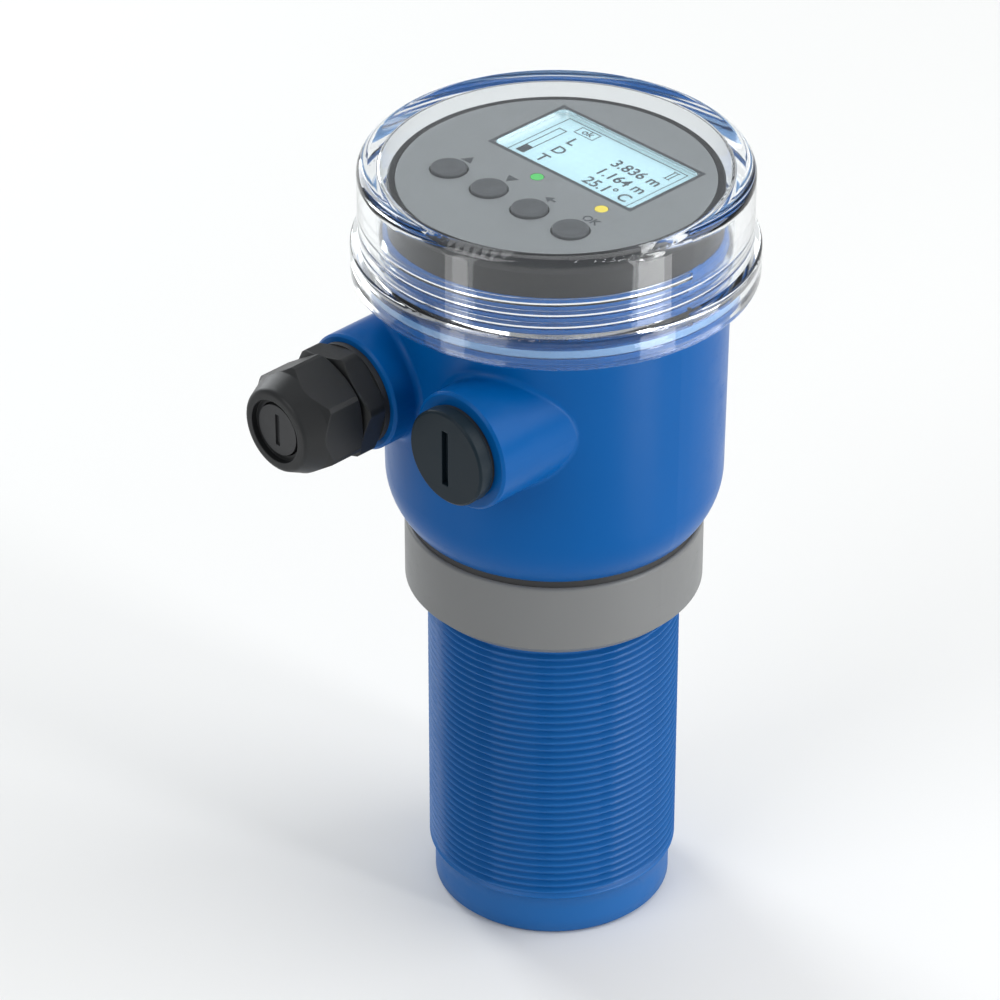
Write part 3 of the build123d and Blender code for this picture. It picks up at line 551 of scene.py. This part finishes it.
def finishPiece(name, mesh, body, material, sharpAngle):
    tidy = bmesh.new()
    tidy.from_mesh(mesh)
    bmesh.ops.recalc_face_normals(tidy, faces=tidy.faces)
    tidy.to_mesh(mesh)
    tidy.free()
    mesh.polygons.foreach_set("use_smooth", np.ones(len(mesh.polygons), dtype=bool))
    mesh.set_sharp_from_angle(angle=math.radians(sharpAngle))
    mesh.materials.clear()
    mesh.materials.append(material)
    piece = bpy.data.objects.new(name, mesh)
    scene.collection.objects.link(piece)
    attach(piece, body)
    return piece


# Height of a 60 degree thread from 0 in the root to 1 on the crest: the phase is the height along the
# axis in pitches less the turn round it, folded about its middle, with root and crest flattened.
def threadHeight(along, angle, pitch):
    phase = along / pitch - angle / (2 * math.pi)
    fold = np.abs(2 * (phase - np.floor(phase)) - 1)
    rootWidth, flankWidth = 0.25, 0.625  # as shares of half a pitch
    return np.clip((fold - rootWidth) / flankWidth, 0, 1)


# Radii and heights in millimetres, as on the plain solid that the piece replaces
shank = {
    "bore": 25.2, "seat": 26.4, "seatTop": 5.0, "tip": 28.6, "tipChamfer": 1.2, "tipTop": 12.0, "crest": 30.0,
    "relief": 29.0, "reliefLow": 86.0, "reliefHigh": 88.0, "threadTop": 106.0, "flange": 32.4,
    "flangeBase": 110.0, "top": 112.5, "pitch": 2.0, "depth": 1.22, "fade": 1.6, "rowsPerTurn": 12,
    "columns": 128, "sharpAngle": 55,
}


# The profile is a closed loop of corners (radius, height), with each edge cut into steps, finely where
# it is threaded. There each point moves in by the thread's depth times one less the thread's height,
# which fades out over the ends of a stretch.
def makeShank():
    look = shank
    crest, low, high = look["crest"], look["tipTop"], look["threadTop"]
    below, above = look["reliefLow"], look["reliefHigh"]
    stretches = [(low, below), (above, high)]
    lowSteps, highSteps = (
        int(round((end - start) * look["rowsPerTurn"] / look["pitch"])) for start, end in stretches)
    corners = [  # (radius, height), steps to the next corner
        ((look["seat"], look["seatTop"]), 2),
        ((look["seat"], 0), 2),
        ((look["tip"] - look["tipChamfer"], 0), 2),
        ((look["tip"], look["tipChamfer"]), 3),
        ((look["tip"], low - (crest - look["tip"])), 2),
        ((crest, low), lowSteps),
        ((crest, below), 1),
        ((look["relief"], below), 2),
        ((look["relief"], above), 1),
        ((crest, above), highSteps),
        ((crest, high), 2),
        ((crest, look["flangeBase"]), 2),
        ((look["flange"], look["flangeBase"]), 2),
        ((look["flange"], look["top"]), 2),
        ((look["bore"], look["top"]), 3),
        ((look["bore"], look["seatTop"]), 2),
    ]
    edges = zip(corners, corners[1:] + corners[:1])
    profile = np.concatenate(
        [np.linspace(start, end, steps, endpoint=False) for (start, steps), (end, _) in edges])
    radius, height = profile[:, 0][:, None], profile[:, 1][:, None]
    angle = np.linspace(0, 2 * math.pi, look["columns"], endpoint=False)[None, :]
    close = 1e-6
    cut = np.zeros_like(height)
    for start, end in stretches:
        threaded = (height > start - close) & (height < end + close) & (np.abs(radius - crest) < close)
        fade = np.clip(np.minimum(height - start, end - height) / look["fade"], 0, 1)
        cut = np.where(threaded, fade, cut)
    reach = radius - look["depth"] * cut * (1 - threadHeight(height, angle, look["pitch"]))
    points = np.stack(
        [reach * np.cos(angle), reach * np.sin(angle), np.broadcast_to(height, reach.shape)], axis=-1) * mm
    faces = gridFaces(len(profile), look["columns"], True, True)
    mesh = bpy.data.meshes.new("threadedShank")
    mesh.from_pydata(points.reshape(-1, 3).tolist(), [], faces.tolist())
    material = materials["shank_blue"]
    piece = finishPiece("threadedShank", mesh, "sensor_body", material, look["sharpAngle"])
    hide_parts("transducer_shank")


makeShank()
print("shank done")

# Round walls that carry a fine thread, on the entries' axes (x, z): heights run outwards along -Y, and
# all lengths are in millimetres
spigots = {
    "blanking_plug": {
        "piece": "threadedPlug", "body": "entry_plug", "slot": "plug_black", "axis": (17.5, 149.2),
        "radius": 9.85, "from": 36.1, "to": 48.5},
    "gland_body": {
        "piece": "threadedGland", "body": "sensor_body", "slot": "gland_black", "axis": (-17.5, 149.2),
        "radius": 9.4, "from": 55.0, "to": 61.5},
}
entryThread = {"pitch": 1.5, "depth": 0.8, "rowsPerTurn": 10, "fade": 0.9, "sharpAngle": 35}
wallFinding = {"merge": 1e-4, "radius": 0.03, "end": 0.002}  # how near: one corner, on the wall, at its end


# A copy of a solid whose plain round wall gets a thread: the wall's triangles go and a grid takes their
# place. Its columns stand at the angles of the wall's own end rings, which stay as its first and last
# rows, and between them the radius falls by the thread's depth times one less its height.
def makeSpigot(node, look):
    source = solids[node].data
    places = np.empty(3 * len(source.vertices))
    source.vertices.foreach_get("co", places)
    loose = np.empty(len(source.loops), dtype=np.int32)
    source.loops.foreach_get("vertex_index", loose)
    places = places.reshape(-1, 3) / mm
    first, merged = np.unique(
        np.round(places / wallFinding["merge"]), axis=0, return_index=True, return_inverse=True)[1:]
    points, faces = places[first], merged.reshape(-1)[loose].reshape(-1, 3)

    x, z = look["axis"]
    across, up, along = points[:, 0] - x, points[:, 2] - z, -points[:, 1]
    radius, low, high = look["radius"], look["from"], look["to"]
    angle = np.arctan2(up, across)
    onWall = np.abs(np.hypot(across, up) - radius) < wallFinding["radius"]
    atLow, atHigh = (onWall & (np.abs(along - end) < wallFinding["end"]) for end in (low, high))
    lowRing, highRing = (np.flatnonzero(ring)[np.argsort(angle[ring])] for ring in (atLow, atHigh))
    wall = onWall[faces].all(axis=1) & atLow[faces].any(axis=1) & atHigh[faces].any(axis=1)
    folded = (faces == np.roll(faces, 1, axis=1)).any(axis=1)
    kept = faces[~wall & ~folded]

    rows = int(round((high - low) / entryThread["pitch"] * entryThread["rowsPerTurn"])) + 1
    heights = np.linspace(low, high, rows)[1:-1, None]
    turns = angle[lowRing][None, :]
    cut = np.clip(np.minimum(heights - low, high - heights) / entryThread["fade"], 0, 1)
    reach = radius - entryThread["depth"] * cut * (1 - threadHeight(heights, turns, entryThread["pitch"]))
    threadX, threadZ = x + reach * np.cos(turns), z + reach * np.sin(turns)
    thread = np.stack([threadX, np.broadcast_to(-heights, reach.shape), threadZ], axis=-1)
    inner = len(points) + np.arange(reach.size).reshape(reach.shape)
    table = np.vstack([lowRing, inner, highRing])
    grid = table.reshape(-1)[gridFaces(rows, table.shape[1], False, True)]
    mesh = bpy.data.meshes.new(look["piece"])
    everyPoint = np.vstack([points, thread.reshape(-1, 3)]) * mm
    mesh.from_pydata(everyPoint.tolist(), [], kept.tolist() + grid.tolist())
    material, sharpAngle = materials[look["slot"]], entryThread["sharpAngle"]
    piece = finishPiece(look["piece"], mesh, look["body"], material, sharpAngle)
    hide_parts(node)


for node, look in spigots.items():
    makeSpigot(node, look)
print("spigots done")

flatWork = {"merge": 1e-7, "sharpAngle": 30}  # merge is how near two points lie, in metres, to become one
lettering = {"boldness": 0.016, "curveSteps": 4}  # boldness thickens the strokes, as a share of the size


# Flat outlines lifted to thin closed slabs, in millimetres: each has the same ring of points below and
# above, quads between the two rings and a face over each end.
def slabMesh(name, outlines, low, high):
    points, faces, first = [], [], 0
    for outline in outlines:
        count = len(outline)
        below = first + np.arange(count)
        above = below + count
        sides = np.stack([below, np.roll(below, -1), np.roll(above, -1), above], axis=1)
        faces += [below[::-1].tolist(), above.tolist(), *sides.tolist()]
        points += [np.column_stack([outline, np.full(count, height)]) for height in (low, high)]
        first += 2 * count
    mesh = bpy.data.meshes.new(name)
    mesh.from_pydata((np.vstack(points) * mm).tolist(), [], faces)
    return mesh


def bar(x0, y0, x1, y1):
    return [(x0, y0), (x1, y0), (x1, y1), (x0, y1)]


def hollowBar(x0, y0, x1, y1, line):
    return [
        bar(x0, y0, x1, y0 + line),
        bar(x0, y1 - line, x1, y1),
        bar(x0, y0 + line, x0 + line, y1 - line),
        bar(x1 - line, y0 + line, x1, y1 - line),
    ]


def shifted(outline, x, y):
    return [(x + across, y + along) for across, along in outline]


def wordMesh(words, size, x, y, align, low, high):
    curve = bpy.data.curves.new("words", "FONT")
    curve.body, curve.size, curve.align_x = words, size * mm, align
    curve.extrude = (high - low) / 2 * mm
    curve.offset = size * lettering["boldness"] * mm
    curve.resolution_u = lettering["curveSteps"]
    holder = bpy.data.objects.new("words", curve)
    scene.collection.objects.link(holder)
    bpy.context.view_layer.update()
    mesh = bpy.data.meshes.new_from_object(holder.evaluated_get(bpy.context.evaluated_depsgraph_get()))
    mesh.transform(Matrix.Translation(Vector((x, y, (low + high) / 2)) * mm))
    bpy.data.objects.remove(holder)
    bpy.data.curves.remove(curve)
    return mesh


# Slabs and words of one ink, welded into one piece
def inkPiece(name, outlines, words, low, high, material):
    mesh = slabMesh(name, outlines, low, high)
    whole = bmesh.new()
    whole.from_mesh(mesh)
    for text, size, x, y, align in words:
        letters = wordMesh(text, size, x, y, align, low, high)
        whole.from_mesh(letters)
        bpy.data.meshes.remove(letters)
    bmesh.ops.remove_doubles(whole, verts=whole.verts, dist=flatWork["merge"])
    whole.to_mesh(mesh)
    whole.free()
    return finishPiece(name, mesh, "sensor_body", material, flatWork["sharpAngle"])


# The cell lies just under the lens and carries its reading as raised segments. Places on the screen are
# counted from its lower left corner: a box is (left, bottom, right, top), a frame is a box and its line.
display = {
    "centre": (0.0, 12.8), "cell": (46.0, 25.0), "bottom": 187.3, "top": 189.14, "screen": (38.0, 21.0),
    "inkHeight": 0.03,
    "frames": [
        (0, 0, 38.0, 21.0, 0.22),
        (1.6, 1.8, 4.1, 16.0, 0.28),  # the gauge
        (5.2, 16.9, 11.2, 20.1, 0.24),  # round ok
    ],
    "boxes": [
        (1.6, 1.8, 4.1, 5.2),  # the gauge's filling
        (34.8, 16.4, 35.1, 20.0),
        (35.8, 16.4, 36.1, 20.0),
        (34.5, 16.25, 36.4, 16.5),
        (34.5, 19.85, 36.4, 20.1),
    ],
    "okSize": 3.0, "okPlace": (8.2, 17.75),
    "letterSize": 4.5, "letterLeft": 7.4, "valueRight": 36.4,
    "lines": [(11.9, "L", "3.836 m"), (6.9, "D", "1.164 m"), (1.9, "T", "25.1° C")],
}


def centredBox(centre, size):
    (x, y), (length, width) = centre, size
    return x - length / 2, y - width / 2, x + length / 2, y + width / 2


def makeDisplay():
    look = display
    outline = bar(*centredBox(look["centre"], look["cell"]))
    mesh = slabMesh("displayCell", [outline], look["bottom"], look["top"])
    material, sharpAngle = materials["display_glass"], flatWork["sharpAngle"]
    cell = finishPiece("displayCell", mesh, "sensor_body", material, sharpAngle)
    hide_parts("display_glass")

    left, bottom = centredBox(look["centre"], look["screen"])[:2]
    outlines = [side for place in look["frames"] for side in hollowBar(*place)]
    outlines += [bar(*box) for box in look["boxes"]]
    outlines = [shifted(outline, left, bottom) for outline in outlines]
    words = [("ok", look["okSize"], left + look["okPlace"][0], bottom + look["okPlace"][1], "CENTER")]
    for base, letter, value in look["lines"]:
        words.append((letter, look["letterSize"], left + look["letterLeft"], bottom + base, "LEFT"))
        words.append((value, look["letterSize"], left + look["valueRight"], bottom + base, "RIGHT"))
    low, high = look["top"], look["top"] + look["inkHeight"]
    inkPiece("readingSegments", outlines, words, low, high, segmentInk)


makeDisplay()

# Faceplate print: a window frame, and one sign above each key. A sign's outlines are counted from the
# middle of its key's column and of the row of signs.
facePrint = {
    "top": 192.0, "lift": 0.04, "sink": 0.03, "window": (45.6, 24.6), "windowLine": 0.9, "signRow": -8.4,
    "signs": [
        (-19.5, [[(-1.6, -1.28), (1.6, -1.28), (0, 1.28)]]),  # up
        (-6.5, [[(-1.6, 1.28), (0, -1.28), (1.6, 1.28)]]),  # down
        (6.5, [[(0.32, -1.28), (0.32, 1.28), (-1.6, 0)], bar(0.32, -0.28, 1.6, 0.28)]),  # back
    ],
    "words": [("OK", 3.2, 19.5, -9.55, "CENTER")],
}


def makeFacePrint():
    look = facePrint
    outlines = hollowBar(*centredBox(display["centre"], look["window"]), look["windowLine"])
    for column, sign in look["signs"]:
        outlines += [shifted(outline, column, look["signRow"]) for outline in sign]
    low, high = look["top"] - look["sink"], look["top"] + look["lift"]
    inkPiece("facePrint", outlines, look["words"], low, high, printInk)


makeFacePrint()
print("display and print done")

paleFloor = {
    "half": 3.0, "tone": (0.80, 0.80, 0.79), "shade": 0.97, "scale": 3.0, "detail": 2.0, "polish": 0.7,
}


def makeFloor():
    look = paleFloor
    half = look["half"]
    corners = [(-half, -half, 0), (half, -half, 0), (half, half, 0), (-half, half, 0)]
    mesh = bpy.data.meshes.new("floor")
    mesh.from_pydata(corners, [], [(0, 1, 2, 3)])
    floor = bpy.data.objects.new("floor", mesh)
    scene.collection.objects.link(floor)
    material, tree, shader = startMaterial("paleFloor")
    where = objectPlace(tree, (-900, 0))
    mottle = noiseFac(tree, where, look["scale"], look["detail"], (-600, 0))
    shaded = tuple(look["shade"] * part for part in look["tone"])
    tree.links.new(mixTones(tree, mottle, look["tone"], shaded, (-200, 0)), shader["Base Color"])
    shader["Roughness"].default_value = look["polish"]
    mesh.materials.append(material)
    return floor


# Azimuths are in degrees, counted from the front to the right; places are in metres
cameraView = {
    "azimuth": 45.0, "distance": 1.0, "height": 0.752, "aim": (-0.007, -0.011, 0.1085), "lens": 182.0,
    "nearest": 0.01,
}

# Softboxes: azimuth is counted from the camera's, to its right, and tint is white where none is given.
# The low ones stand near the floor and don't light it.
softboxes = {
    "keyLight": {"azimuth": 88, "distance": 1.5, "height": 1.1, "size": (1.3, 1.3), "watts": 16},
    "stripLight": {"azimuth": 56, "distance": 1.1, "height": 0.36, "size": (0.16, 0.7), "watts": 5},
    "fillLight": {"azimuth": -48, "distance": 1.7, "height": 1.3, "size": (1.2, 1.2), "watts": 12.5},
    "rimLight": {
        "azimuth": -142, "distance": 1.4, "height": 0.7, "size": (0.5, 1.3), "watts": 12,
        "tint": (0.95, 0.98, 1)},
    "topLight": {"azimuth": 150, "distance": 0.5, "height": 1.9, "size": (1.4, 1.4), "watts": 11},
    "lowRight": {
        "azimuth": 54, "distance": 0.25, "height": 0.065, "size": (0.09, 0.12), "watts": 0.12, "low": True},
    "lowLeft": {
        "azimuth": -54, "distance": 0.25, "height": 0.065, "size": (0.06, 0.12), "watts": 0.05, "low": True},
}
backdrop = {"tone": (0.93, 0.95, 0.97), "strength": 0.36}


# Puts an object round the sensor and turns it to look at the camera's aim
def standRound(name, data, azimuth, distance, height):
    turn = math.radians(azimuth)
    stander = bpy.data.objects.new(name, data)
    stander.location = (math.sin(turn) * distance, -math.cos(turn) * distance, height)
    towards = Vector(cameraView["aim"]) - stander.location
    stander.rotation_euler = towards.to_track_quat("-Z", "Y").to_euler()
    scene.collection.objects.link(stander)
    return stander


def makeStudio(floor):
    noFloor = bpy.data.collections.new("noFloor")
    noFloor.objects.link(floor)
    noFloor.collection_objects[0].light_linking.link_state = "EXCLUDE"

    lens = bpy.data.cameras.new("camera")
    lens.lens = cameraView["lens"]
    lens.clip_start = cameraView["nearest"]
    scene.camera = standRound(
        "camera", lens, cameraView["azimuth"], cameraView["distance"], cameraView["height"])

    for name, box in softboxes.items():
        light = bpy.data.lights.new(name, "AREA")
        light.shape = "RECTANGLE"
        light.size, light.size_y = box["size"]
        light.energy = box["watts"]
        light.color = box.get("tint", (1, 1, 1))
        azimuth = cameraView["azimuth"] + box["azimuth"]
        lamp = standRound(name, light, azimuth, box["distance"], box["height"])
        lamp.visible_camera = False
        if box.get("low"):
            lamp.light_linking.receiver_collection = noFloor

    world = bpy.data.worlds.new("studio")
    world.use_nodes = True
    sky = world.node_tree.nodes["Background"].inputs
    sky["Color"].default_value = (*backdrop["tone"], 1)
    sky["Strength"].default_value = backdrop["strength"]
    scene.world = world
    scene.view_settings.view_transform = "Standard"


makeStudio(makeFloor())
print("studio done")
